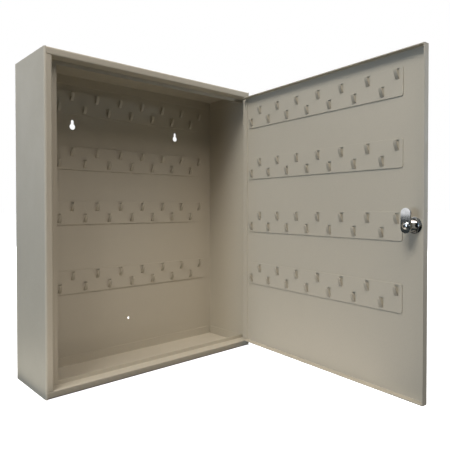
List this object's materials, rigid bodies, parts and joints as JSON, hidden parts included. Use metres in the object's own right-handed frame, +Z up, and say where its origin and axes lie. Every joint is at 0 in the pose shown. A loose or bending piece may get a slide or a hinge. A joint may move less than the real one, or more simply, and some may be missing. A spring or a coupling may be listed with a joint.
{
  "type": "key cabinet",
  "caption": "Wall-hung sheet-steel key cabinet with a hinged locking door; strips of lanced hooks on its back panel and on the inside of the door.",
  "frame": {"origin": "middle of the back panel's rear face, on the wall", "axes": "+X to the cabinet's right seen from the front, +Y back into the wall, +Z up"},
  "size_m": [0.419, 0.5093, 0.511],
  "materials": {
    "paint": "sand-grey powder coat, semi-matt",
    "chrome": "polished",
    "zinc": "zinc plated",
    "brass": "machined",
    "spring_steel": "drawn wire"
  },
  "bodies": {
    "cabinet": {"body_shell": "paint", "top_pan": "paint", "bottom_pan": "paint", "hinge_body_leaf": "paint", "hinge_pin": "zinc", "back_hook_strip_1": "paint", "back_hook_strip_2": "paint", "back_hook_strip_3": "paint", "back_hook_strip_4": "paint"},
    "door": {"door_panel": "paint", "hinge_door_leaf": "paint", "lock_housing": "chrome", "lock_washer": "zinc", "lock_nut": "chrome", "door_hook_strip_1": "paint", "door_hook_strip_2": "paint", "door_hook_strip_3": "paint", "door_hook_strip_4": "paint"},
    "lock_turning": {"lock_plug": "chrome", "stop_washer": "zinc", "cam": "zinc", "cam_screw": "zinc", "wafer_spring_1": "spring_steel", "wafer_spring_2": "spring_steel", "wafer_spring_3": "spring_steel", "wafer_spring_4": "spring_steel", "wafer_spring_5": "spring_steel"},
    "wafer_body_1": {"wafer_1": "brass"},
    "wafer_body_2": {"wafer_2": "brass"},
    "wafer_body_3": {"wafer_3": "brass"},
    "wafer_body_4": {"wafer_4": "brass"},
    "wafer_body_5": {"wafer_5": "brass"}
  },
  "joints": [
    {"name": "door_hinge", "type": "hinge", "parent": "cabinet", "child": "door", "pos_m": [0.1955, -0.122, 0], "axis": [0, 0, 1], "range_deg": [-83.5, 90]},
    {"name": "lock_turn", "type": "hinge", "parent": "door", "child": "lock_turning", "pos_m": [0.1535, -0.49062, -0.001], "axis": [0.9936, -0.1132, 0], "range_deg": [0, 90]},
    {"name": "wafer_slide_1", "type": "slide", "parent": "lock_turning", "child": "wafer_body_1", "axis": [0, 0, 1], "range_m": [0, 0.0008], "deforming": ["wafer_spring_1"]},
    {"name": "wafer_slide_2", "type": "slide", "parent": "lock_turning", "child": "wafer_body_2", "axis": [0, 0, 1], "range_m": [0, 0.0008], "deforming": ["wafer_spring_2"]},
    {"name": "wafer_slide_3", "type": "slide", "parent": "lock_turning", "child": "wafer_body_3", "axis": [0, 0, 1], "range_m": [0, 0.0008], "deforming": ["wafer_spring_3"]},
    {"name": "wafer_slide_4", "type": "slide", "parent": "lock_turning", "child": "wafer_body_4", "axis": [0, 0, 1], "range_m": [0, 0.0008], "deforming": ["wafer_spring_4"]},
    {"name": "wafer_slide_5", "type": "slide", "parent": "lock_turning", "child": "wafer_body_5", "axis": [0, 0, 1], "range_m": [0, 0.0008], "deforming": ["wafer_spring_5"]}
  ]
}
